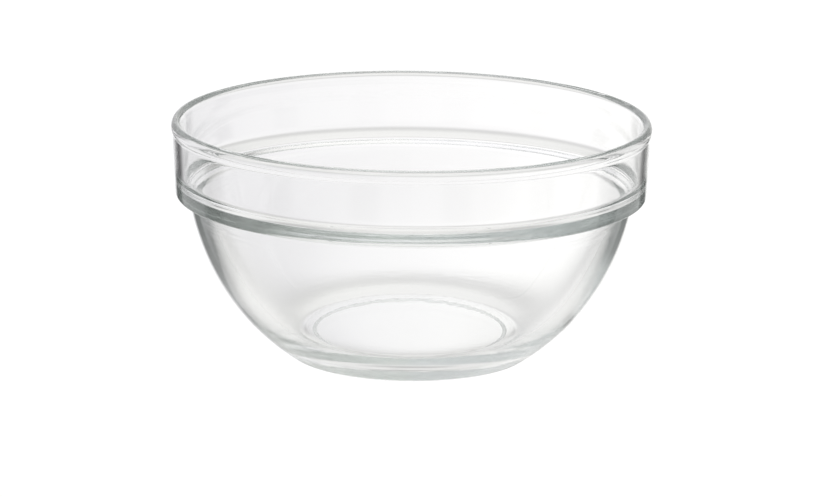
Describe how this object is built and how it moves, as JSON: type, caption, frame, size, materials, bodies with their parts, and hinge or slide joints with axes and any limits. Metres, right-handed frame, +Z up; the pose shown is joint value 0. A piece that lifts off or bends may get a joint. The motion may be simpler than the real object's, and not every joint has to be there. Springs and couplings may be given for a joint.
{
  "type": "stacking bowl",
  "caption": "Round clear glass bowl with an upright banded rim and a shoulder under the band that rests on the rim of a like bowl, for serving and stacked storage.",
  "frame": {"origin": "centre of the foot ring, on the surface that the bowl stands on", "axes": "+Z up along the bowl's axis of revolution; +X and +Y are any two square directions, because the bowl is round"},
  "size_m": [0.14, 0.14, 0.07],
  "materials": {
    "clear_glass": "polished clear pressed glass with a faint green tint in thick parts"
  },
  "bodies": {
    "root": {"glass_bowl": "clear_glass"}
  },
  "joints": []
}
